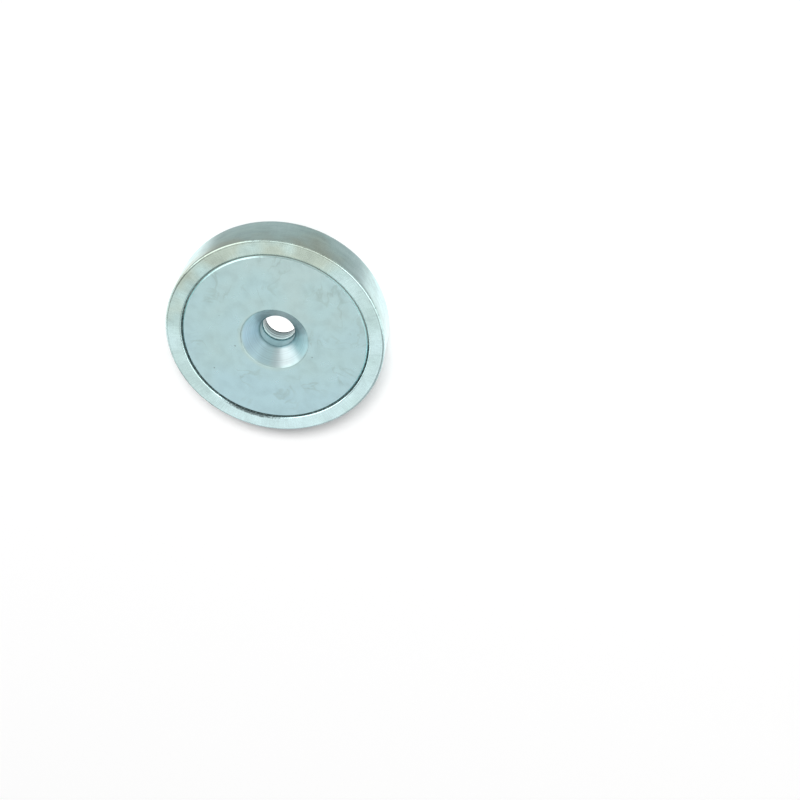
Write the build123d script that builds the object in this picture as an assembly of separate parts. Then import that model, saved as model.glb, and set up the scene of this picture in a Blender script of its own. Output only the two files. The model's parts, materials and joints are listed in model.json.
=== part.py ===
"""Pot magnet with a countersunk screw hole.

A turned steel pot holds a ring magnet, which cured resin bonds in its seat. The pot carries the
magnet's flux round to its rim, so the whole pull acts on the front face. A countersunk screw
through the middle fixes the pot to a panel, with its head below that face.

The origin is the centre of the pot's flat back. +Z runs up the screw hole to the magnetic face.
All sizes are in millimetres.
"""

import os

from build123d import *

# Steel pot
POT_DIAMETER = 42.0
POT_HEIGHT = 8.5
WALL_THICKNESS = 3.0
BASE_THICKNESS = 3.0
RIM_ROUND = 0.4  # outer edge of the rim, rounded by tumbling
RIM_LEAD_IN = 0.4  # chamfer at the mouth of the seat, which guides the magnet in
BACK_ROUND = 1.2  # outer edge of the back, so that the pot drops into a counterbore
SCREW_HOLE_DIAMETER = 6.4  # close clearance hole for an M6 screw
SCREW_HOLE_BREAK = 0.3  # chamfer where the screw hole leaves the back

# Ring magnet
RESIN_GAP = 0.3  # between the magnet and the wall of its seat, all round
MAGNET_RECESS = 0.05  # magnet's face below the rim, so that the steel touches first
MAGNET_EDGE_BREAK = 0.3  # chamfer on the edges of the ring, so that its plating doesn't chip
MAGNET_HOLE_CLEARANCE = 0.2  # magnet's hole outside the screw hole, all round
COUNTERSINK_DIAMETER = 13.0  # takes the head of an M6 countersunk screw
COUNTERSINK_ANGLE = 90.0
COUNTERSINK_EDGE_ROUND = 0.2

# Cured resin
RESIN_DEPTH = 0.45  # top of the resin below the magnet's face

pot_radius = POT_DIAMETER / 2
seat_radius = pot_radius - WALL_THICKNESS
screw_hole_radius = SCREW_HOLE_DIAMETER / 2
magnet_radius = seat_radius - RESIN_GAP
magnet_hole_radius = screw_hole_radius + MAGNET_HOLE_CLEARANCE
magnet_top = POT_HEIGHT - MAGNET_RECESS
resin_top = magnet_top - RESIN_DEPTH
resin_reach = MAGNET_EDGE_BREAK / 2  # how far the resin creeps in under the magnet's lower edge


def turned(corners):
    """Solid turned about the screw hole's axis from the (radius, height) corners of its section."""
    section = make_face(Polyline(*corners, close=True))
    return revolve(Plane.XZ * section, Axis.Z)


def turned_ring(inner_radius, outer_radius, bottom, top):
    """Plain turned ring between two radii and two heights."""
    return turned(
        [(inner_radius, bottom), (outer_radius, bottom), (outer_radius, top), (inner_radius, top)]
    )


def ring_edge(solid, radius, height):
    """The circular edge of a turned solid that lies at a radius and a height."""
    rings = solid.edges().filter_by(GeomType.CIRCLE)
    return rings.sort_by(lambda ring: abs(ring.radius - radius) + abs(ring.arc_center.Z - height))[0]


def steel_pot():
    """One-piece cup: a flat base with the screw hole, and a wall that rises to the bare rim."""
    pot = turned(
        [
            (screw_hole_radius, 0),
            (pot_radius, 0),
            (pot_radius, POT_HEIGHT),
            (seat_radius, POT_HEIGHT),
            (seat_radius, BASE_THICKNESS),
            (screw_hole_radius, BASE_THICKNESS),
        ]
    )
    pot = fillet(ring_edge(pot, pot_radius, 0), BACK_ROUND)
    pot = fillet(ring_edge(pot, pot_radius, POT_HEIGHT), RIM_ROUND)
    pot = chamfer(ring_edge(pot, seat_radius, POT_HEIGHT), RIM_LEAD_IN)
    return chamfer(ring_edge(pot, screw_hole_radius, 0), SCREW_HOLE_BREAK)


def ring_magnet():
    """Sintered ring that lies on the floor of the seat, countersunk from its magnetic face."""
    magnet = turned_ring(magnet_hole_radius, magnet_radius, BASE_THICKNESS, magnet_top)
    countersink = CounterSinkHole(
        radius=magnet_hole_radius,
        counter_sink_radius=COUNTERSINK_DIAMETER / 2,
        depth=magnet_top - BASE_THICKNESS,
        counter_sink_angle=COUNTERSINK_ANGLE,
    )
    magnet -= Pos(Z=magnet_top) * countersink
    for radius, height in (
        (magnet_radius, magnet_top),
        (magnet_radius, BASE_THICKNESS),
        (magnet_hole_radius, BASE_THICKNESS),
    ):
        magnet = chamfer(ring_edge(magnet, radius, height), MAGNET_EDGE_BREAK)
    return fillet(ring_edge(magnet, COUNTERSINK_DIAMETER / 2, magnet_top), COUNTERSINK_EDGE_ROUND)


def bonding_resin():
    """Cured resin that fills the gap round the magnet, from the floor of the seat to below its face."""
    return turned(
        [
            (magnet_radius - resin_reach, BASE_THICKNESS),
            (seat_radius, BASE_THICKNESS),
            (seat_radius, resin_top),
            (magnet_radius, resin_top),
            (magnet_radius, BASE_THICKNESS + MAGNET_EDGE_BREAK),
            (magnet_radius - resin_reach, BASE_THICKNESS + MAGNET_EDGE_BREAK - resin_reach),
        ]
    )


def main():
    """Builds the three pieces and writes one STEP file for each."""
    pieces = {
        "steel_pot": steel_pot(),
        "ring_magnet": ring_magnet(),
        "bonding_resin": bonding_resin(),
    }
    os.makedirs("parts", exist_ok=True)
    for name, piece in pieces.items():
        export_step(piece, f"parts/{name}.step")


main()
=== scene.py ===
"""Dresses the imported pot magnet: its plated steel pot, its countersunk ring magnet and its resin.

The frame is in metres. The origin is the centre of the pot's flat back, and +Z runs up the screw
hole to the magnetic face. Sizes in this file are in millimetres unless a name says otherwise.
"""

import json
import logging
import math
from dataclasses import dataclass, field
from enum import Enum

import bmesh
import bpy
from mathutils import Euler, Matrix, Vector


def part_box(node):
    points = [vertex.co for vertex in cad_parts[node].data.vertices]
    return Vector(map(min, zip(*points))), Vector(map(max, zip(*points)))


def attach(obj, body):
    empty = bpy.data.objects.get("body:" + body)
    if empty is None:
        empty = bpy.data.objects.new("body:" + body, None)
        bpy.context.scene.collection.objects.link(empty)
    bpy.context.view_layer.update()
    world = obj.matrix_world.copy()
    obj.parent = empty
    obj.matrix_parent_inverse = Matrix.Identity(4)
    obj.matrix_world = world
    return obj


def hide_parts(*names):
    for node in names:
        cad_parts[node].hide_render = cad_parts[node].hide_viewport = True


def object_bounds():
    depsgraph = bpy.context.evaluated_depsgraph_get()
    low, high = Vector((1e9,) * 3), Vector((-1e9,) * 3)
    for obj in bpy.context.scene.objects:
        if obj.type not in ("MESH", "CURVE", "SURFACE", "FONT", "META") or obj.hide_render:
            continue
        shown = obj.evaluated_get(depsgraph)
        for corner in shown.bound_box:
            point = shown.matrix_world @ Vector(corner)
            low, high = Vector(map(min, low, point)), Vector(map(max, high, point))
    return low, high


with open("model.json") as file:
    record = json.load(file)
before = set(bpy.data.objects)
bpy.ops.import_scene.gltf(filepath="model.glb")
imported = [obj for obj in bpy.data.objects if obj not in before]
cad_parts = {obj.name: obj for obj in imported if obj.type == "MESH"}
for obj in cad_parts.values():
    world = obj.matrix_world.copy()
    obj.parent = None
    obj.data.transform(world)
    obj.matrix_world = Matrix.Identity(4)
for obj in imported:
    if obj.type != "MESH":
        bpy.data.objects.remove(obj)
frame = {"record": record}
cad_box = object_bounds()

log = logging.getLogger("pot_magnet")

MM = 0.001  # one millimetre in the frame's metres


class Node(Enum):
    """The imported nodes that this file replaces."""

    POT = "steel_pot"
    MAGNET = "ring_magnet"
    RESIN = "bonding_resin"


def linear(hex_colour: str) -> tuple[float, float, float, float]:
    """Turns an sRGB hex colour into the linear colour that Blender's sockets hold.

    Args:
        hex_colour: six hex digits, with or without a leading #.

    Returns:
        Linear red, green and blue, and an alpha of 1.
    """
    digits = hex_colour.lstrip("#")
    channels = [int(digits[i : i + 2], 16) / 255 for i in (0, 2, 4)]
    red, green, blue = (
        c / 12.92 if c <= 0.04045 else ((c + 0.055) / 1.055) ** 2.4 for c in channels
    )
    return red, green, blue, 1.0


def set_inputs(tree: bpy.types.NodeTree, node: bpy.types.Node, inputs: dict) -> None:
    """Gives a node its values and links.

    Args:
        tree: the tree that holds the node.
        node: the node.
        inputs: for an input's name or place, either a value, or a node or socket to link from.
            A name means the input of that name that is in use, and a node means its first
            output in use.
    """
    for key, value in inputs.items():
        if isinstance(key, str):
            socket = next(s for s in node.inputs if s.name == key and s.enabled)
        else:
            socket = node.inputs[key]
        if isinstance(value, bpy.types.Node):
            value = next(s for s in value.outputs if s.enabled)
        if isinstance(value, bpy.types.NodeSocket):
            tree.links.new(value, socket)
        else:
            socket.default_value = value


def add_node(
    tree: bpy.types.NodeTree, kind: str, inputs: dict | None = None, **settings: object
) -> bpy.types.Node:
    """Adds a node to a tree, with its settings, values and links.

    Args:
        tree: the tree that gets the node.
        kind: the node's type name.
        inputs: its values and links, as set_inputs takes them.
        **settings: attributes of the node, set before its inputs.

    Returns:
        The new node.
    """
    node = tree.nodes.new(kind)
    for name, value in settings.items():
        setattr(node, name, value)
    set_inputs(tree, node, inputs or {})
    return node


@dataclass(frozen=True)
class Corner:
    """A corner of a turned section: its radius and height, and the round that its edge has."""

    radius: float
    height: float
    round: float = 0.0

    def toward(self, other: "Corner", reach: float) -> "Corner":
        """Finds a plain point on the way to another corner.

        Args:
            other: the other corner.
            reach: how far the point is from this corner.

        Returns:
            The point.
        """
        here = Vector((self.radius, self.height))
        way = Vector((other.radius, other.height)) - here
        return Corner(*(here + way.normalized() * reach))

    def turn(self, before: "Corner", after: "Corner") -> float:
        """Measures how far the section turns at this corner.

        Args:
            before: the corner before it.
            after: the corner after it.

        Returns:
            The angle in radians.
        """
        here = Vector((self.radius, self.height))
        back = Vector((before.radius, before.height)) - here
        ahead = Vector((after.radius, after.height)) - here
        return math.pi - back.angle(ahead)


@dataclass
class Lathe:
    """Turns a closed section about the screw hole's axis, with one Geometry Nodes tree.

    The tree rounds the section's corners by the attribute that each point carries, and sweeps the
    section along a circle.
    """

    segments: int = 480  # round the axis
    facets: int = 8  # on each rounded corner
    pitch: float = 10.0  # radius of the circle that carries the section
    flat_margin: float = 0.03  # past each round, so that smooth shading keeps the flats flat
    tree: bpy.types.GeometryNodeTree = field(init=False)

    def __post_init__(self) -> None:
        """Builds the tree that every turned piece shares."""
        self.tree = bpy.data.node_groups.new("turned_section", "GeometryNodeTree")
        for name, kind, way in (
            ("Section", "NodeSocketGeometry", "INPUT"),
            ("Segments", "NodeSocketInt", "INPUT"),
            ("Facets", "NodeSocketInt", "INPUT"),
            ("Pitch", "NodeSocketFloat", "INPUT"),
            ("Finish", "NodeSocketMaterial", "INPUT"),
            ("Turned", "NodeSocketGeometry", "OUTPUT"),
        ):
            self.tree.interface.new_socket(name=name, in_out=way, socket_type=kind)
        given = add_node(self.tree, "NodeGroupInput").outputs
        section = add_node(self.tree, "GeometryNodeMeshToCurve", {"Mesh": given["Section"]})
        rounds = add_node(
            self.tree, "GeometryNodeInputNamedAttribute", {"Name": "round"}, data_type="FLOAT"
        )
        rounded = add_node(
            self.tree,
            "GeometryNodeFilletCurve",
            {"Curve": section, "Count": given["Facets"], "Radius": rounds},
            mode="POLY",
        )
        circle = add_node(
            self.tree,
            "GeometryNodeCurvePrimitiveCircle",
            {"Resolution": given["Segments"], "Radius": given["Pitch"]},
        )
        upright = add_node(self.tree, "GeometryNodeSetCurveNormal", {"Curve": circle}, mode="Z_UP")
        swept = add_node(
            self.tree, "GeometryNodeCurveToMesh", {"Curve": upright, "Profile Curve": rounded}
        )
        smooth = add_node(self.tree, "GeometryNodeSetShadeSmooth", {"Geometry": swept})
        real = add_node(self.tree, "GeometryNodeRealizeInstances", {"Geometry": smooth})
        dressed = add_node(
            self.tree, "GeometryNodeSetMaterial", {"Geometry": real, "Material": given["Finish"]}
        )
        add_node(self.tree, "NodeGroupOutput", {"Turned": dressed})

    def _points(self, corners: list[Corner]) -> list[Corner]:
        """Sets each corner between two plain points, just past the ends of its round.

        Args:
            corners: the section's corners, in order.

        Returns:
            The corners and the plain points, in order.
        """
        points = []
        for i, corner in enumerate(corners):
            before, after = corners[i - 1], corners[(i + 1) % len(corners)]
            tangent = corner.round * math.tan(corner.turn(before, after) / 2)
            reach = tangent + self.flat_margin
            points += [corner.toward(before, reach), corner, corner.toward(after, reach)]
        return points

    def turn(
        self, name: str, corners: list[Corner], finish: bpy.types.Material
    ) -> bpy.types.Object:
        """Turns one piece.

        Args:
            name: the piece's name.
            corners: its section, in order round its outline.
            finish: the material of its whole surface.

        Returns:
            The piece as a plain closed mesh, with its object at the origin.
        """
        points = self._points(corners)
        wire = bpy.data.meshes.new(name + "_section")
        places = [((p.radius - self.pitch) * MM, -p.height * MM, 0) for p in points]
        loop = [(i, (i + 1) % len(points)) for i in range(len(points))]
        wire.from_pydata(places, loop, [])
        rounds = wire.attributes.new("round", "FLOAT", "POINT")
        rounds.data.foreach_set("value", [p.round * MM for p in points])

        piece = bpy.data.objects.new(name, wire)
        bpy.context.scene.collection.objects.link(piece)
        modifier = piece.modifiers.new("lathe", "NODES")
        modifier.node_group = self.tree
        given = {
            "Segments": self.segments,
            "Facets": self.facets,
            "Pitch": self.pitch * MM,
            "Finish": finish,
        }
        for item in self.tree.interface.items_tree:
            if item.name in given:
                modifier[item.identifier] = given[item.name]
        evaluated = piece.evaluated_get(bpy.context.evaluated_depsgraph_get())
        turned = bpy.data.meshes.new_from_object(evaluated)
        piece.modifiers.remove(modifier)
        piece.data = turned
        bpy.data.meshes.remove(wire)
        turned.name = name
        face_outwards(turned)
        return piece


def face_outwards(mesh: bpy.types.Mesh) -> None:
    """Turns every face of a closed mesh outwards.

    Args:
        mesh: the mesh, which is changed in place.
    """
    shell = bmesh.new()
    shell.from_mesh(mesh)
    bmesh.ops.recalc_face_normals(shell, faces=shell.faces)
    shell.to_mesh(mesh)
    shell.free()


def new_finish(name: str) -> tuple[bpy.types.Material, bpy.types.Node, bpy.types.NodeSocket]:
    """Starts a finish.

    Args:
        name: the finish's name.

    Returns:
        The material, its shader, and the place on the object in metres that its patterns read.
    """
    material = bpy.data.materials.new(name)
    material.use_nodes = True
    tree = material.node_tree
    place = add_node(tree, "ShaderNodeTexCoord").outputs["Object"]
    return material, tree.nodes["Principled BSDF"], place


def per(size: float, millimetre: float = MM) -> float:
    """The scale that gives a pattern's features a size, from what a millimetre measures there."""
    return 1 / (size * millimetre)


@dataclass(frozen=True)
class Grain:
    """A noise pattern in a finish, and the levels that it gives."""

    size: float  # of its features
    levels: tuple[float, float]  # what it gives, from its dark parts to its bright ones
    span: tuple[float, float] = (0.3, 0.7)  # the noise's values that the levels run between
    detail: float = 2.0
    roughness: float = 0.5
    distortion: float = 0.0

    def lay(
        self,
        tree: bpy.types.NodeTree,
        where: dict[str, bpy.types.Node | bpy.types.NodeSocket],
        dimensions: str = "3D",
        millimetre: float = MM,
    ) -> tuple[bpy.types.Node, bpy.types.Node]:
        """Adds the pattern.

        Args:
            tree: the finish's tree.
            where: the noise's coordinates, by the names of its inputs.
            dimensions: how many coordinates the noise reads.
            millimetre: what one millimetre measures in those coordinates.

        Returns:
            The node that gives the plain noise, and the node that gives the levels.
        """
        noise = add_node(
            tree,
            "ShaderNodeTexNoise",
            {
                **where,
                "Scale": per(self.size, millimetre),
                "Detail": self.detail,
                "Roughness": self.roughness,
                "Distortion": self.distortion,
            },
            noise_dimensions=dimensions,
        )
        low, high = self.span
        dark, bright = self.levels
        level = add_node(
            tree,
            "ShaderNodeMapRange",
            {"Value": noise, "From Min": low, "From Max": high, "To Min": dark, "To Max": bright},
        )
        return noise, level


@dataclass(frozen=True)
class ZincFilm:
    """The clear passivation on zinc plating, tinted by its thickness.

    It drifts from straw green where it is thin to pale blue where it is thick, across the face
    and in soft clouds.
    """

    thin: str
    middle: str
    thick: str
    stops: tuple[float, float, float] = (0.08, 0.34, 0.95)  # of the drift, where each tint is pure
    reach: float = 21.0  # from the axis to where the film is thinnest and thickest
    thick_side: float = 90.0  # degrees from +X towards +Y
    sink: float = 0.0  # how much thicker it grows for each millimetre down from the face
    clouds: float = 9.0  # size of the soft clouds
    cloud_span: tuple[float, float] = (0.25, 0.75)
    cloudiness: float = 0.35  # share of the drift that the clouds can add or take

    def tint(self, tree: bpy.types.NodeTree, place: bpy.types.NodeSocket) -> bpy.types.Node:
        """Adds the film's colour.

        Args:
            tree: the finish's tree.
            place: the place on the object.

        Returns:
            The node that gives the colour.
        """
        # The drift runs from 0 to 1 across the face, and is a half on the axis.
        side, slope = math.radians(self.thick_side), 1 / (2 * self.reach * MM)
        way = (slope * math.cos(side), slope * math.sin(side), -self.sink / MM)
        on_axis = 0.5 + self.sink * cad_box[1].z / MM
        drift = add_node(
            tree, "ShaderNodeVectorMath", {0: place, 1: way}, operation="DOT_PRODUCT"
        ).outputs["Value"]
        drift = add_node(tree, "ShaderNodeMath", {0: drift, 1: on_axis}, operation="ADD")
        clouds = Grain(self.clouds, (-self.cloudiness, self.cloudiness), self.cloud_span)
        _, lift = clouds.lay(tree, {"Vector": place})
        depth = add_node(tree, "ShaderNodeMath", {0: drift, 1: lift}, operation="ADD")
        ramp = add_node(tree, "ShaderNodeValToRGB", {"Fac": depth})
        first, middle, last = self.stops
        elements = ramp.color_ramp.elements
        elements[0].position, elements[0].color = first, linear(self.thin)
        elements[1].position, elements[1].color = last, linear(self.thick)
        elements.new(middle).color = linear(self.middle)
        return ramp


def axial(
    tree: bpy.types.NodeTree, place: bpy.types.NodeSocket
) -> tuple[bpy.types.NodeSocket, bpy.types.NodeSocket, bpy.types.NodeSocket]:
    """Splits a place into what a turned surface depends on.

    Args:
        tree: the finish's tree.
        place: the place on the object.

    Returns:
        The radius, the height, and the direction outwards from the axis.
    """
    height = add_node(tree, "ShaderNodeSeparateXYZ", {0: place}).outputs["Z"]
    flat = add_node(tree, "ShaderNodeVectorMath", {0: place, 1: (1, 1, 0)}, operation="MULTIPLY")
    radius = add_node(tree, "ShaderNodeVectorMath", {0: flat}, operation="LENGTH")
    outward = add_node(tree, "ShaderNodeVectorMath", {0: flat}, operation="NORMALIZE")
    return radius.outputs["Value"], height, outward.outputs["Vector"]


def toward(
    tree: bpy.types.NodeTree, outward: bpy.types.NodeSocket, side: float, start: float = -0.6
) -> bpy.types.Node:
    """Adds a share that is 1 on one side of the axis and fades away from it.

    Args:
        tree: the finish's tree.
        outward: the direction outwards from the axis.
        side: that side, in degrees from +X towards +Y.
        start: the cosine of the angle from that side at which the share is down to 0.

    Returns:
        The node that gives the share.
    """
    angle = math.radians(side)
    cosine = add_node(
        tree,
        "ShaderNodeVectorMath",
        {0: outward, 1: (math.cos(angle), math.sin(angle), 0)},
        operation="DOT_PRODUCT",
    ).outputs["Value"]
    return add_node(tree, "ShaderNodeMapRange", {"Value": cosine, "From Min": start})


@dataclass(frozen=True)
class DryingMarks:
    """The thin curved marks that rinsing water leaves on zinc plating as it dries.

    They follow a contour of a noise, in patches.
    """

    colour: str = "#93A69D"
    spacing: float = 5.0
    width: float = 0.6
    contour: float = 0.5  # value of the noise that the marks follow
    slope: float = 0.35  # by how much the noise changes there over its spacing
    swirl: float = 0.8  # distortion of the noise
    patches: Grain = Grain(7.0, (0.0, 1.0), span=(0.5, 0.62), detail=1.0)
    strength: float = 0.3

    def over(
        self, tree: bpy.types.NodeTree, place: bpy.types.NodeSocket, colour: bpy.types.Node
    ) -> bpy.types.Node:
        """Lays the marks over a colour.

        Args:
            tree: the finish's tree.
            place: the place on the object.
            colour: the node that gives the colour under the marks.

        Returns:
            The node that gives the marked colour.
        """
        drops = add_node(
            tree,
            "ShaderNodeTexNoise",
            {
                "Vector": place,
                "Scale": per(self.spacing),
                "Detail": 4.0,
                "Distortion": self.swirl,
            },
        )
        away = add_node(tree, "ShaderNodeMath", {0: drops, 1: self.contour}, operation="SUBTRACT")
        away = add_node(tree, "ShaderNodeMath", {0: away}, operation="ABSOLUTE")
        mark = add_node(
            tree,
            "ShaderNodeMapRange",
            {
                "Value": away,
                "From Max": self.slope * self.width / self.spacing,
                "To Min": self.strength,
                "To Max": 0.0,
            },
            interpolation_type="SMOOTHSTEP",
        )
        _, patch = self.patches.lay(tree, {"Vector": place})
        share = add_node(tree, "ShaderNodeMath", {0: mark, 1: patch}, operation="MULTIPLY")
        return add_node(
            tree,
            "ShaderNodeMix",
            {"Factor": share, "A": colour, "B": linear(self.colour)},
            data_type="RGBA",
        )


@dataclass(frozen=True)
class Specks:
    """Small dark pits, which the plating hasn't filled."""

    colour: str = "#7A898A"
    spacing: float = 3.7
    radius: float = 0.26
    share: float = 0.12  # of the places that have one

    def over(
        self, tree: bpy.types.NodeTree, place: bpy.types.NodeSocket, colour: bpy.types.Node
    ) -> bpy.types.Node:
        """Lays the specks over a colour.

        Args:
            tree: the finish's tree.
            place: the place on the object.
            colour: the node that gives the colour round the specks.

        Returns:
            The node that gives the speckled colour.
        """
        cells = add_node(
            tree,
            "ShaderNodeTexVoronoi",
            {"Vector": place, "Scale": per(self.spacing)},
            voronoi_dimensions="2D",
        )
        chance = add_node(tree, "ShaderNodeSeparateColor", {0: cells.outputs["Color"]})
        reach = add_node(
            tree,
            "ShaderNodeMapRange",
            {"Value": chance, "From Min": 1 - self.share, "To Max": self.radius / self.spacing},
        )
        pit = add_node(
            tree,
            "ShaderNodeMapRange",
            {"Value": cells.outputs["Distance"], "From Max": reach, "To Min": 1.0, "To Max": 0.0},
            interpolation_type="SMOOTHSTEP",
        )
        return add_node(
            tree,
            "ShaderNodeMix",
            {"Factor": pit, "A": colour, "B": linear(self.colour)},
            data_type="RGBA",
        )


@dataclass(frozen=True)
class RaggedLipBand:
    """A thin ragged band that is darker on one side of the lip of the rim."""

    side: float = 80.0  # degrees from +X towards +Y
    spread: float = 24.0  # degrees to each side
    reach: tuple[float, float] = (18.75, 18.1)  # radius, from where it thins out to the lip
    grain: float = 0.35
    span: tuple[float, float] = (0.72, 1.3)  # of its share and grain, from bare to dark
    shade: float = 0.2

    def lay(
        self,
        tree: bpy.types.NodeTree,
        place: bpy.types.NodeSocket,
        radius: bpy.types.NodeSocket,
        outward: bpy.types.NodeSocket,
    ) -> bpy.types.Node:
        """Adds the band.

        Args:
            tree: the finish's tree.
            place: the place on the object.
            radius: the radius.
            outward: the direction outwards from the axis.

        Returns:
            The node that gives the factor for the colour.
        """
        thick = add_node(
            tree,
            "ShaderNodeMapRange",
            {"Value": radius, "From Min": self.reach[0] * MM, "From Max": self.reach[1] * MM},
        )
        there = toward(tree, outward, self.side, start=math.cos(math.radians(self.spread)))
        lip_band = add_node(tree, "ShaderNodeMath", {0: thick, 1: there}, operation="MULTIPLY")
        ragged = add_node(
            tree, "ShaderNodeTexNoise", {"Vector": place, "Scale": per(self.grain), "Detail": 3.0}
        )
        lip_band = add_node(tree, "ShaderNodeMath", {0: lip_band, 1: ragged}, operation="ADD")
        return add_node(
            tree,
            "ShaderNodeMapRange",
            {
                "Value": lip_band,
                "From Min": self.span[0],
                "From Max": self.span[1],
                "To Min": 1.0,
                "To Max": self.shade,
            },
        )


@dataclass(frozen=True)
class TurnedSteelZinc:
    """Bright blue zinc plating on turned steel.

    To the eye it is a fairly sharp metal with a soft sheen across its fine turning lines, straw
    green on one side and pale blue on the other, with soft clouds drawn out round the wall, small
    nicks on the outer edge, and painted highlights that brighten the edges. The lip of the rim
    is darker in a ragged band on one side. In the screw hole the lines are the drill's, coarser,
    and painted shade darkens the surface towards the lower end.
    """

    name: str = "bright_blue_zinc_on_turned_steel"
    film: ZincFilm = ZincFilm(
        "#B9C8BC", "#BDD7D4", "#D0EAEC", thick_side=112.0, sink=0.075, cloudiness=0.4
    )
    roughness: tuple[float, float] = (0.27, 0.18)  # from the dark clouds to the bright ones
    sheen_stretch: float = 0.45  # how far the turning lines draw out the sheen
    sheen_turn: float = 0.25  # of a whole turn, from along the lines to across them
    lines: Grain = Grain(0.12, (0.94, 1.03))  # coarser than the lathe's own, so that they show
    line_depth: float = 0.0008
    drill_lines: Grain = Grain(0.3, (0.3, 1.0), span=(0.4, 0.6))
    drill_depth: float = 0.004
    bore_radius: float = 3.5  # inside which the surface is the drill's
    hatch: Grain = Grain(0.24, (0.96, 1.025), detail=1.0)  # left by the polishing, across the lines
    hatch_rate: float = 5.0  # how fast the hatch changes along the section, for each metre
    clouds: Grain = Grain(3.5, (0.89, 1.05), detail=3.0, roughness=0.6)
    cloud_squeeze: float = 3.0  # how much flatter the clouds are than they are long
    nicks: Grain = Grain(0.45, (0.0, 1.0), span=(0.58, 0.66))
    nick_reach: tuple[float, float] = (29.12, 29.22)  # radius plus height, past the flat of the rim
    nick_shade: float = 0.72
    painted_edge_highlight: float = 1.22  # painted highlight: how much brighter the edges' colour is than the faces'
    lip_reach: tuple[float, float] = (18.3, 18.15)  # radius, from the flat of the rim to its lip, where the painted highlight comes in
    exit_reach: tuple[float, float] = (2.7, 0.6)  # height, from where the painted shade starts in the screw hole to its lower end
    # Painted shade: the factor for the colour at the screw hole's lower end.
    painted_exit_shade: float = 0.2
    lip_band: RaggedLipBand = RaggedLipBand()

    def _edges(
        self,
        tree: bpy.types.NodeTree,
        place: bpy.types.NodeSocket,
        radius: bpy.types.NodeSocket,
        height: bpy.types.NodeSocket,
    ) -> tuple[bpy.types.Node, bpy.types.Node]:
        """Paints a highlight on the edges by brightening their colour, and nicks the outer one.

        Args:
            tree: the finish's tree.
            place: the place on the object.
            radius: the radius.
            height: the height.

        Returns:
            The nodes that give the factors for the colour: that of the nicks and of the painted
            highlight.
        """
        corner = add_node(tree, "ShaderNodeMath", {0: radius, 1: height}, operation="ADD")
        at_corner, at_lip = (
            add_node(
                tree,
                "ShaderNodeMapRange",
                {"Value": measure, "From Min": start * MM, "From Max": end * MM},
            )
            for measure, (start, end) in ((corner, self.nick_reach), (radius, self.lip_reach))
        )
        _, knocked = self.nicks.lay(tree, {"Vector": place})
        nick = add_node(tree, "ShaderNodeMath", {0: at_corner, 1: knocked}, operation="MULTIPLY")
        # Painted highlight on the lip and the outer corner.
        edge = add_node(tree, "ShaderNodeMath", {0: at_lip, 1: at_corner}, operation="MAXIMUM")
        nicked, highlight_paint = (
            add_node(tree, "ShaderNodeMapRange", {"Value": share, "To Min": 1.0, "To Max": full})
            for share, full in ((nick, self.nick_shade), (edge, self.painted_edge_highlight))
        )
        return nicked, highlight_paint

    def material(self) -> bpy.types.Material:
        """Builds the node material.

        Returns:
            The material, whose patterns read the place on the object.
        """
        material, shader, place = new_finish(self.name)
        tree = material.node_tree
        radius, height, outward = axial(tree, place)
        in_bore = add_node(
            tree, "ShaderNodeMath", {0: radius, 1: self.bore_radius * MM}, operation="LESS_THAN"
        )

        # Rings about the axis: the turning lines depend on the radius and height alone.
        along = add_node(tree, "ShaderNodeMath", {0: radius, 1: height}, operation="SUBTRACT")
        lines, lined = self.lines.lay(tree, {"W": along}, "1D")
        drilled, streaked = self.drill_lines.lay(tree, {"W": along}, "1D")
        # Marks across the lines: they depend on the direction from the axis, whose length of 1
        # stands for the pot's radius, and change only slowly along the section.
        slowly = add_node(
            tree, "ShaderNodeMath", {0: along, 1: self.hatch_rate}, operation="MULTIPLY"
        )
        _, hatched = self.hatch.lay(
            tree, {"Vector": outward, "W": slowly}, "4D", millimetre=MM / cad_box[1].x
        )
        drawn_out = add_node(
            tree,
            "ShaderNodeVectorMath",
            {0: place, 1: (1, 1, self.cloud_squeeze)},
            operation="MULTIPLY",
        )
        clouds, clouded = self.clouds.lay(tree, {"Vector": drawn_out})
        # Nicks, the painted highlight on the edges, and the darker band on the lip.
        nicked, highlight_paint = self._edges(tree, place, radius, height)
        lip_band_factor = self.lip_band.lay(tree, place, radius, outward)
        at_rim = add_node(tree, "ShaderNodeMath", {0: highlight_paint, 1: lip_band_factor}, operation="MULTIPLY")
        # Painted shade, darker towards the screw hole's lower end.
        painted_shade_at_exit = add_node(
            tree,
            "ShaderNodeMapRange",
            {
                "Value": height,
                "From Min": self.exit_reach[0] * MM,
                "From Max": self.exit_reach[1] * MM,
                "To Min": 1.0,
                "To Max": self.painted_exit_shade,
            },
        )
        turned, bored = (
            add_node(tree, "ShaderNodeMath", {0: noise, 1: depth * MM}, operation="MULTIPLY")
            for noise, depth in ((lines, self.line_depth), (drilled, self.drill_depth))
        )

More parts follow.
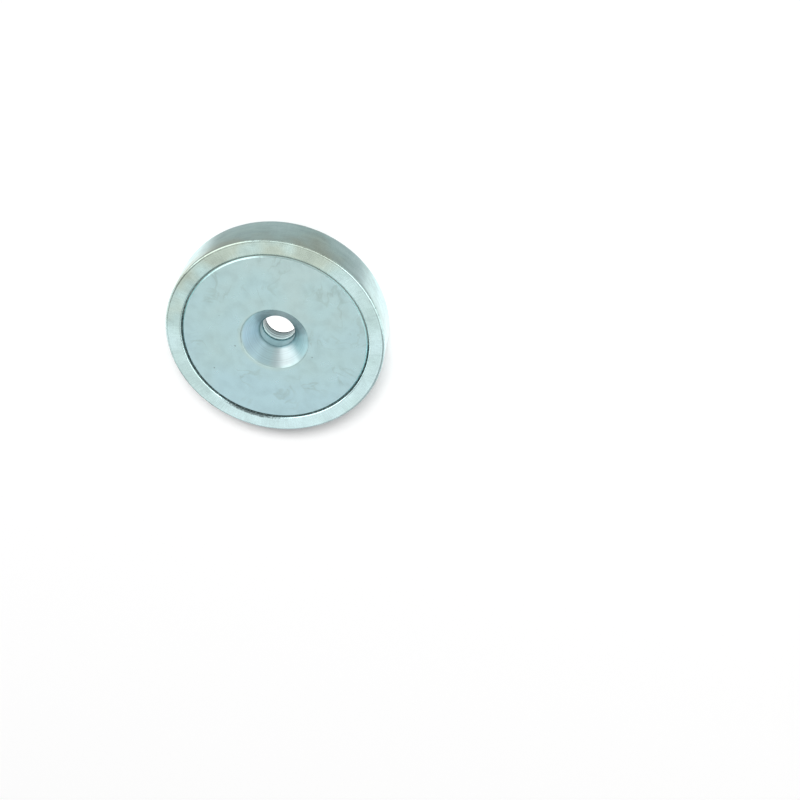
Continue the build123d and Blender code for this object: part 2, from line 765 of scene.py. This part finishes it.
        wear, ends, relief = (
            add_node(tree, "ShaderNodeMix", {"Factor": in_bore, "A": outside, "B": inside})
            for outside, inside in ((lined, streaked), (at_rim, painted_shade_at_exit), (turned, bored))
        )
        for factor in (hatched, clouded, nicked, ends):
            wear = add_node(tree, "ShaderNodeMath", {0: wear, 1: factor}, operation="MULTIPLY")
        colour = add_node(
            tree,
            "ShaderNodeVectorMath",
            {0: self.film.tint(tree, place), "Scale": wear},
            operation="SCALE",
        )
        low, high = self.clouds.span
        dull, sharp = self.roughness
        rough = add_node(
            tree,
            "ShaderNodeMapRange",
            {"Value": clouds, "From Min": low, "From Max": high, "To Min": dull, "To Max": sharp},
        )
        around = add_node(
            tree, "ShaderNodeVectorMath", {0: (0, 0, 1), 1: place}, operation="CROSS_PRODUCT"
        )
        bump = add_node(tree, "ShaderNodeBump", {"Height": relief, "Distance": 1.0})
        set_inputs(
            tree,
            shader,
            {
                "Base Color": colour,
                "Metallic": 1.0,
                "Roughness": rough,
                "Normal": bump,
                "Anisotropic": self.sheen_stretch,
                "Anisotropic Rotation": self.sheen_turn,
                "Tangent": around,
            },
        )
        return material


@dataclass(frozen=True)
class SideTint:
    """A tint painted on one side of the countersink, where it stands in for light or shade."""

    colour: str
    side: float  # degrees from +X towards +Y
    start: float = -0.6  # cosine of the angle from that side at which the tint ends


@dataclass(frozen=True)
class SatinMagnetZinc:
    """Satin blue zinc plating on the ground faces of a sintered ring.

    To the eye it is a soft metal sheen, finely grained and clouded, with a few dark specks and
    the thin curved marks that rinsing water leaves as it dries. The countersink is duller and
    bluer, with fine lines round it, and the film turns straw green on its mouth. Light and shade
    are painted into its colour: a painted highlight on the broken edge of the face, and round the
    countersink a near white side, a darker bluer side, a paler tint where its highlight falls and
    a darker teal in the straight hole below it.
    """

    mouth: float  # radius of the countersink's mouth
    name: str = "satin_blue_zinc_on_sintered_magnet"
    film: ZincFilm = ZincFilm("#B5CDCC", "#B2CECF", "#B1CFD5", reach=18.0)
    straw: str = "#C2D3C3"
    straw_side: float = 50.0  # degrees from +X towards +Y
    straw_tint: float = 0.36
    straw_fade: tuple[float, float] = (0.9, 0.0)  # past the mouth, from none to all of the straw
    countersink_fade: tuple[float, float] = (0.1, -0.5)  # past the mouth, from the face inwards
    grey: str = "#B2D2D5"  # of the countersink, under its tints
    thick: SideTint = SideTint("#AFCDDC", -35.0)  # painted shade: a darker, bluer tint on this side
    thin: SideTint = SideTint("#F0FBFD", -95.0, start=-0.2)  # painted light: a near white tint on this side
    painted_highlight_tint: SideTint = SideTint("#C3D2D4", 118.0, start=0.8)  # painted highlight: a paler tint where the countersink's highlight falls
    # Painted shade: the straight hole below the countersink is painted a darker teal.
    painted_neck_shade: str = "#8FB2B8"
    neck_reach: tuple[float, float] = (3.8, 3.45)  # radius, from the countersink to the straight hole below it, where the painted shade is full
    edge_reach: tuple[float, float] = (17.38, 17.5)  # radius, from the face to its broken edge, over which the painted highlight comes in
    # Painted highlight: how much brighter the broken edge's colour is painted than the face's.
    painted_edge_highlight: float = 1.5
    roughness: float = 0.3
    countersink_roughness: float = 0.36
    patchiness: float = 0.03  # roughness that the dark clouds add and the bright ones take
    patch_span: tuple[float, float] = (0.3, 0.7)  # of the clouds' noise
    clouds: Grain = Grain(2.2, (0.93, 1.0), span=(0.3, 0.55), detail=4.0, distortion=0.3)
    grain: Grain = Grain(0.16, (0.97, 1.03))  # coarser than the grinding's own, so that it shows
    grain_depth: float = 0.004
    lines: Grain = Grain(0.16, (0.9, 1.05))  # round the countersink
    line_depth: float = 0.003
    marks: DryingMarks = DryingMarks()
    specks: Specks = Specks()

    def _face(
        self,
        tree: bpy.types.NodeTree,
        place: bpy.types.NodeSocket,
        radius: bpy.types.NodeSocket,
        outward: bpy.types.NodeSocket,
    ) -> bpy.types.Node:
        """Tints the face, with its marks and specks, and yellows it round the mouth.

        Args:
            tree: the finish's tree.
            place: the place on the object.
            radius: the radius.
            outward: the direction outwards from the axis.

        Returns:
            The node that gives the colour.
        """
        film = self.film.tint(tree, place)
        film = self.marks.over(tree, place, film)
        film = self.specks.over(tree, place, film)
        yellowed = add_node(
            tree,
            "ShaderNodeMath",
            {0: toward(tree, outward, self.straw_side), 1: self.straw_tint},
            operation="MULTIPLY",
        )
        near_mouth = add_node(
            tree,
            "ShaderNodeMapRange",
            {
                "Value": radius,
                "From Min": (self.mouth + self.straw_fade[0]) * MM,
                "From Max": (self.mouth + self.straw_fade[1]) * MM,
                "To Max": yellowed,
            },
            interpolation_type="SMOOTHSTEP",
        )
        return add_node(
            tree,
            "ShaderNodeMix",
            {"Factor": near_mouth, "A": film, "B": linear(self.straw)},
            data_type="RGBA",
        )

    def _countersink(
        self,
        tree: bpy.types.NodeTree,
        radius: bpy.types.NodeSocket,
        outward: bpy.types.NodeSocket,
    ) -> bpy.types.Node:
        """Tints the countersink and the straight hole below it, with painted light, shade and
        highlight.

        Args:
            tree: the finish's tree.
            radius: the radius.
            outward: the direction outwards from the axis.

        Returns:
            The node that gives the colour.
        """
        in_neck = add_node(
            tree,
            "ShaderNodeMapRange",
            {
                "Value": radius,
                "From Min": self.neck_reach[0] * MM,
                "From Max": self.neck_reach[1] * MM,
            },
        )
        # Painted light, shade and highlight on the sides, and painted shade in the straight hole.
        layers = [
            (toward(tree, outward, tint.side, tint.start), tint.colour)
            for tint in (self.thick, self.thin, self.painted_highlight_tint)
        ]
        colour = linear(self.grey)
        for share, tint in (*layers, (in_neck, self.painted_neck_shade)):
            colour = add_node(
                tree,
                "ShaderNodeMix",
                {"Factor": share, "A": colour, "B": linear(tint)},
                data_type="RGBA",
            )
        return colour

    def material(self) -> bpy.types.Material:
        """Builds the node material.

        Returns:
            The material, whose patterns read the place on the object.
        """
        material, shader, place = new_finish(self.name)
        tree = material.node_tree
        radius, _, outward = axial(tree, place)
        inside = add_node(
            tree,
            "ShaderNodeMapRange",
            {
                "Value": radius,
                "From Min": (self.mouth + self.countersink_fade[0]) * MM,
                "From Max": (self.mouth + self.countersink_fade[1]) * MM,
            },
            interpolation_type="SMOOTHSTEP",
        )
        tint = add_node(
            tree,
            "ShaderNodeMix",
            {
                "Factor": inside,
                "A": self._face(tree, place, radius, outward),
                "B": self._countersink(tree, radius, outward),
            },
            data_type="RGBA",
        )

        clouds, clouded = self.clouds.lay(tree, {"Vector": place})
        grain, grained = self.grain.lay(tree, {"Vector": place})
        lines, lined = self.lines.lay(tree, {"W": radius}, "1D")
        ground, turned = (
            add_node(tree, "ShaderNodeMath", {0: noise, 1: depth * MM}, operation="MULTIPLY")
            for noise, depth in ((grain, self.grain_depth), (lines, self.line_depth))
        )
        fine, relief, dull = (
            add_node(tree, "ShaderNodeMix", {"Factor": inside, "A": on_face, "B": on_countersink})
            for on_face, on_countersink in (
                (grained, lined),
                (ground, turned),
                (self.roughness, self.countersink_roughness),
            )
        )
        # Painted highlight: the broken edge's colour is brightened.
        highlight_paint = add_node(
            tree,
            "ShaderNodeMapRange",
            {
                "Value": radius,
                "From Min": self.edge_reach[0] * MM,
                "From Max": self.edge_reach[1] * MM,
                "To Min": 1.0,
                "To Max": self.painted_edge_highlight,
            },
        )
        wear = clouded
        for factor in (fine, highlight_paint):
            wear = add_node(tree, "ShaderNodeMath", {0: wear, 1: factor}, operation="MULTIPLY")
        plated = add_node(tree, "ShaderNodeVectorMath", {0: tint, "Scale": wear}, operation="SCALE")
        patchy = add_node(
            tree,
            "ShaderNodeMapRange",
            {
                "Value": clouds,
                "From Min": self.patch_span[0],
                "From Max": self.patch_span[1],
                "To Min": self.patchiness,
                "To Max": -self.patchiness,
            },
        )
        rough = add_node(tree, "ShaderNodeMath", {0: dull, 1: patchy}, operation="ADD")
        bump = add_node(tree, "ShaderNodeBump", {"Height": relief, "Distance": 1.0})
        set_inputs(
            tree,
            shader,
            {"Base Color": plated, "Metallic": 1.0, "Roughness": rough, "Normal": bump},
        )
        return material


@dataclass(frozen=True)
class CuredResin:
    """Cured filled resin.

    To the eye it is nearly black and half glossy, greyed in spots by the dust in its skin. Towards
    one side more of that grey is painted, as painted light.
    """

    name: str = "cured_dark_resin"
    colour: str = "#1E3233"
    skin: Grain = Grain(0.35, (0.2, 0.6), span=(0.0, 1.0), detail=3.0)  # its levels are a roughness
    skin_depth: float = 0.03
    # The dust's grey, which also stands in for painted light on one side.
    dust: str = "#7F8D89"
    dust_cover: float = 0.8  # how much of the resin's colour the dust and the painted light hide where they are thickest
    dust_span: tuple[float, float] = (0.5, 0.7)  # of the skin's noise with the painted light added, from clean to grey
    painted_light_side: float = -90.0  # degrees from +X towards +Y, where the painted light lies
    painted_light_share: float = 0.55  # painted light: how much more of the grey is painted there

    def material(self) -> bpy.types.Material:
        """Builds the node material.

        Returns:
            The material, whose patterns read the place on the object.
        """
        material, shader, place = new_finish(self.name)
        tree = material.node_tree
        skin, rough = self.skin.lay(tree, {"Vector": place})
        _, _, outward = axial(tree, place)
        # Dust in the skin, with painted light added towards one side.
        dust_and_light_share = add_node(
            tree,
            "ShaderNodeMath",
            {0: toward(tree, outward, self.painted_light_side, start=0.0), 1: self.painted_light_share, 2: skin},
            operation="MULTIPLY_ADD",
        )
        dust_and_light_cover = add_node(
            tree,
            "ShaderNodeMapRange",
            {
                "Value": dust_and_light_share,
                "From Min": self.dust_span[0],
                "From Max": self.dust_span[1],
                "To Max": self.dust_cover,
            },
        )
        colour = add_node(
            tree,
            "ShaderNodeMix",
            {"Factor": dust_and_light_cover, "A": linear(self.colour), "B": linear(self.dust)},
            data_type="RGBA",
        )
        bump = add_node(tree, "ShaderNodeBump", {"Height": skin, "Distance": self.skin_depth * MM})
        set_inputs(tree, shader, {"Base Color": colour, "Roughness": rough, "Normal": bump})
        return material


@dataclass
class SteelPot:
    """The one-piece turned cup, with the screw hole in its base and the seat above it."""

    rim_round: float = 0.5
    lead_in: float = 0.17
    lip_round: float = 0.3  # on the upper corner of the lead-in
    throat_round: float = 0.1  # on its lower corner
    back_round: float = 1.2
    hole_break: float = 0.3
    tool_round: float = 0.06  # left by the tool on every other edge

    def build(self, lathe: Lathe) -> bpy.types.Object:
        """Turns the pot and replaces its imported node.

        Args:
            lathe: what turns it.

        Returns:
            The pot's piece.
        """
        _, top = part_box(Node.POT.value)
        seat_low, seat_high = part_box(Node.RESIN.value)
        outer, height = top.x / MM, top.z / MM
        seat, floor = seat_high.x / MM, seat_low.z / MM
        hole = frame["record"]["mounts"][0]["dims"]["r_mm"]
        corners = [
            Corner(hole + self.hole_break, 0, self.tool_round),
            Corner(outer, 0, self.back_round),
            Corner(outer, height, self.rim_round),
            Corner(seat + self.lead_in, height, self.lip_round),
            Corner(seat, height - self.lead_in, self.throat_round),
            Corner(seat, floor, self.tool_round),
            Corner(hole, floor, self.tool_round),
            Corner(hole, self.hole_break, self.tool_round),
        ]
        finish = TurnedSteelZinc().material()
        piece = lathe.turn("pot_shell", corners, finish)
        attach(piece, "root")
        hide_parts(Node.POT.value)
        return piece


@dataclass
class RingMagnet:
    """The sintered ring, plated like the pot and countersunk from its magnetic face."""

    hole_radius: float = 3.4
    countersink_radius: float = 6.5
    edge_break: float = 0.28
    edge_round: float = 0.08  # where the break meets the faces
    mouth_round: float = 0.3

    def build(self, lathe: Lathe) -> bpy.types.Object:
        """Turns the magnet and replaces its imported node.

        Args:
            lathe: what turns it.

        Returns:
            The magnet's piece.
        """
        low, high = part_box(Node.MAGNET.value)
        bottom, top, outer = low.z / MM, high.z / MM, high.x / MM
        cone = self.countersink_radius - self.hole_radius
        corners = [
            Corner(self.hole_radius, bottom, self.edge_break),
            Corner(outer, bottom, self.edge_break),
            Corner(outer, top - self.edge_break, self.edge_round),
            Corner(outer - self.edge_break, top, self.edge_round),
            Corner(self.countersink_radius, top, self.mouth_round),
            Corner(self.hole_radius, top - cone, self.mouth_round),
        ]
        finish = SatinMagnetZinc(self.countersink_radius).material()
        piece = lathe.turn("magnet_ring", corners, finish)
        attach(piece, "root")
        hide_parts(Node.MAGNET.value)
        return piece


@dataclass
class BondingResin:
    """The cured resin in the gap between the magnet and the wall of its seat."""

    climb: float = 0.2  # of the resin's surface above the solid's, at its two walls
    sag: float = 0.12  # of that surface between the walls
    creep: float = 0.04  # of the resin over the broken edge of the magnet

    def build(self, lathe: Lathe) -> bpy.types.Object:
        """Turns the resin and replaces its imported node.

        Args:
            lathe: what turns it.

        Returns:
            The resin's piece.
        """
        low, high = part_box(Node.RESIN.value)
        _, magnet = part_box(Node.MAGNET.value)
        inner, outer = magnet.x / MM, high.x / MM
        bottom, solid_top = low.z / MM, high.z / MM
        skin = solid_top + self.climb
        corners = [
            Corner(inner, bottom),
            Corner(outer, bottom),
            Corner(outer, skin),
            Corner((inner + outer) / 2, skin - self.sag, self.sag),
            Corner(inner - self.creep, skin),
            Corner(inner, magnet.z / MM - RingMagnet.edge_break),
        ]
        piece = lathe.turn("resin_ring", corners, CuredResin().material())
        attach(piece, "root")
        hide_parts(Node.RESIN.value)
        return piece


@dataclass(frozen=True)
class Softbox:
    """An oval soft light that points at the object."""

    name: str
    azimuth: float  # degrees from +X towards +Y
    elevation: float  # degrees above the floor
    level: float  # its own brightness, where 1 is white
    width: float = 30.0  # degrees across, as the object sees it
    height: float = 30.0  # degrees
    distance: float = 0.6  # metres
    in_gloss: bool = True  # whether metal shows it
    on_paper: bool = False  # whether it lights the floor and the resin too

    def place(self) -> None:
        """Adds the light to the scene."""
        lamp = bpy.data.lights.new(self.name, "AREA")
        lamp.shape = "ELLIPSE"
        lamp.size, lamp.size_y = (
            2 * self.distance * math.tan(math.radians(angle / 2))
            for angle in (self.width, self.height)
        )
        area = math.pi / 4 * lamp.size * lamp.size_y
        lamp.energy = math.pi * area * self.level
        light = bpy.data.objects.new(self.name, lamp)
        bpy.context.scene.collection.objects.link(light)
        light.visible_camera = False
        light.visible_glossy = self.in_gloss
        light.visible_diffuse = self.on_paper
        azimuth, elevation = math.radians(self.azimuth), math.radians(self.elevation)
        way = Vector(
            (
                math.cos(azimuth) * math.cos(elevation),
                math.sin(azimuth) * math.cos(elevation),
                math.sin(elevation),
            )
        )
        light.location = way * self.distance
        light.rotation_euler = way.to_track_quat("Z", "Y").to_euler()


@dataclass(frozen=True)
class Viewpoint:
    """The camera: where the magnetic face's centre lies in its view, and how it is turned."""

    face_right: float = -23.74
    face_down: float = -11.39
    face_ahead: float = 236.86
    tilt_down: float = 55.3  # degrees below the horizon
    roll: float = 189.85  # degrees about the line of sight
    focal_length: float = 56.34
    sensor_width: float = 36.0
    nearest: float = 10.0  # nearer than which nothing shows

    def place(self) -> None:
        """Adds the camera to the scene and makes it the scene's own."""
        lens = bpy.data.cameras.new("camera")
        lens.lens = self.focal_length
        lens.sensor_width = self.sensor_width
        lens.clip_start = self.nearest * MM
        camera = bpy.data.objects.new("camera", lens)
        bpy.context.scene.collection.objects.link(camera)
        level = Euler((math.radians(90 - self.tilt_down), 0, 0)).to_matrix()
        turned = level @ Euler((0, 0, math.radians(self.roll))).to_matrix()
        face = Vector((0, 0, cad_box[1].z))
        seen = Vector((self.face_right, -self.face_down, -self.face_ahead)) * MM
        camera.matrix_world = turned.to_4x4()
        camera.location = face - turned @ seen
        bpy.context.scene.camera = camera


@dataclass
class Studio:
    """A pale paper floor, a soft surround and softboxes."""

    softboxes: tuple[Softbox, ...] = (
        Softbox("front", 79, 49, 0.79, width=48, height=42),
        Softbox("top", 79, 86, 0.6, width=60, height=40),
        Softbox("right", 190, 46, 1.95, width=56, height=26),
        Softbox("right_low", 162, 13, 0.6, width=56, height=20),
        Softbox("back", 262, 56, 1.25, width=60, height=36),
        Softbox("left", 332, 32, 1.5, width=56, height=48),
        Softbox("left_low", 30, 15, 0.9, width=50, height=24),
        Softbox(
            "key", 270, 48, 39.5, width=26, height=12, distance=4.0, in_gloss=False, on_paper=True
        ),
    )
    floor_side: float = 4.0  # metres
    paper: str = "#F4F4F4"
    paper_in_metal: str = "#C4C4C4"  # what metal shows of it: a darker copy of the paper, painted shade in reflections
    floor_lift: float = 0.11  # white added to the paper, which brings it up to plain white
    gloss_lift: float = 0.64  # painted reflection: white that metal shows in the paper
    gloss_start: float = 17.5  # from the X axis, where metal starts to show that white
    gloss_full: float = 11.5  # from the X axis, where it shows all of it
    hole_patch: float = 5.0  # radius of the floor under the screw hole, which gets a white of its own: painted light in the object's shade
    hole_gloss: float = 0.85  # white that metal shows in it, a painted reflection
    overhead: float = 0.27  # brightness of the surround above
    horizon: float = 0.8  # its brightness level with the floor
    horizon_top: float = 0.55  # sine of the elevation where the horizon has faded out

    def build(self) -> None:
        """Adds the floor, the surround and the lights."""
        self._floor()
        self._surround()
        for softbox in self.softboxes:
            softbox.place()

    def _direct(self, tree: bpy.types.NodeTree) -> tuple[bpy.types.Node, bpy.types.NodeSocket]:
        """Tells the rays that see the white background from the rest.

        Args:
            tree: the floor's or the surround's tree.

        Returns:
            The node that gives 1 for the camera and through glass, and the socket that gives 1 for
            what metal shows.
        """
        rays = add_node(tree, "ShaderNodeLightPath").outputs
        direct = add_node(
            tree,
            "ShaderNodeMath",
            {0: rays["Is Camera Ray"], 1: rays["Is Transmission Ray"]},
            operation="MAXIMUM",
        )
        return direct, rays["Is Glossy Ray"]

    def _paper(self) -> bpy.types.Material:
        """Builds the floor's paper, to which the camera and metal see white added.

        Returns:
            The material.
        """
        material = bpy.data.materials.new("floor_paper")
        material.use_nodes = True
        tree = material.node_tree
        tree.nodes.clear()
        place = add_node(tree, "ShaderNodeTexCoord").outputs["Object"]
        radius = add_node(tree, "ShaderNodeVectorMath", {0: place}, operation="LENGTH")
        under_hole = add_node(
            tree, "ShaderNodeMath", {0: radius, 1: self.hole_patch * MM}, operation="LESS_THAN"
        )
        along = add_node(tree, "ShaderNodeSeparateXYZ", {0: place}).outputs["Y"]
        along = add_node(tree, "ShaderNodeMath", {0: along}, operation="ABSOLUTE")
        # Painted reflection: metal sees white added to the paper near the X axis, fading out towards
        # +Y and -Y.
        ahead = add_node(
            tree,
            "ShaderNodeMapRange",
            {
                "Value": along,
                "From Min": self.gloss_start * MM,
                "From Max": self.gloss_full * MM,
                "To Max": self.gloss_lift,
            },
            interpolation_type="SMOOTHSTEP",
        )
        in_metal = add_node(
            tree, "ShaderNodeMix", {"Factor": under_hole, "A": ahead, "B": self.hole_gloss}
        )
        # Painted light: the camera sees the floor under the screw hole as plain white, though it lies
        # in the object's shade.
        level = add_node(
            tree, "ShaderNodeMapRange", {"Value": under_hole, "To Min": self.floor_lift}
        )
        direct, glossy = self._direct(tree)
        lift = add_node(tree, "ShaderNodeMath", {0: direct, 1: level}, operation="MULTIPLY")
        lift = add_node(
            tree, "ShaderNodeMath", {0: glossy, 1: in_metal, 2: lift}, operation="MULTIPLY_ADD"
        )
        # Painted shade in reflections: metal sees a darker paper than the camera does.
        colour = add_node(
            tree,
            "ShaderNodeMix",
            {"Factor": direct, "A": linear(self.paper_in_metal), "B": linear(self.paper)},
            data_type="RGBA",
        )
        paper = add_node(tree, "ShaderNodeBsdfDiffuse", {"Color": colour})
        white = add_node(
            tree, "ShaderNodeEmission", {"Color": linear("#FFFFFF"), "Strength": lift}
        )
        lifted = add_node(tree, "ShaderNodeAddShader", {0: paper, 1: white})
        add_node(tree, "ShaderNodeOutputMaterial", {"Surface": lifted})
        return material

    def _floor(self) -> None:
        """Lays the floor that the pot's back rests on."""
        half = self.floor_side / 2
        mesh = bpy.data.meshes.new("floor")
        mesh.from_pydata(
            [(-half, -half, 0), (half, -half, 0), (half, half, 0), (-half, half, 0)],
            [],
            [(0, 1, 2, 3)],
        )
        mesh.materials.append(self._paper())
        floor = bpy.data.objects.new("floor", mesh)
        bpy.context.scene.collection.objects.link(floor)

    def _surround(self) -> None:
        """Lights the object softly from all round, and shows white behind it."""
        world = bpy.data.worlds.new("surround")
        world.use_nodes = True
        tree = world.node_tree
        tree.nodes.clear()
        way = add_node(tree, "ShaderNodeTexCoord").outputs["Generated"]
        up = add_node(tree, "ShaderNodeSeparateXYZ", {0: way}).outputs["Z"]
        level = add_node(
            tree,
            "ShaderNodeMapRange",
            {
                "Value": up,
                "From Max": self.horizon_top,
                "To Min": self.horizon,
                "To Max": self.overhead,
            },
            interpolation_type="SMOOTHSTEP",
        )
        white = linear("#FFFFFF")
        lit = add_node(tree, "ShaderNodeBackground", {"Color": white, "Strength": level})
        shown = add_node(tree, "ShaderNodeBackground", {"Color": white, "Strength": 1.0})
        direct, _ = self._direct(tree)
        mixed = add_node(tree, "ShaderNodeMixShader", {0: direct, 1: lit, 2: shown})
        add_node(tree, "ShaderNodeOutputWorld", {"Surface": mixed})
        bpy.context.scene.world = world


def main() -> None:
    """Builds the view, the studio and the three pieces."""
    logging.basicConfig(level=logging.INFO, format="%(message)s")
    Viewpoint().place()
    Studio().build()
    bpy.context.scene.view_settings.view_transform = "Standard"
    lathe = Lathe()
    for part in (SteelPot(), RingMagnet(), BondingResin()):
        piece = part.build(lathe)
        log.info("%s: %d faces", piece.name, len(piece.data.polygons))


if __name__ == "__main__":
    main()
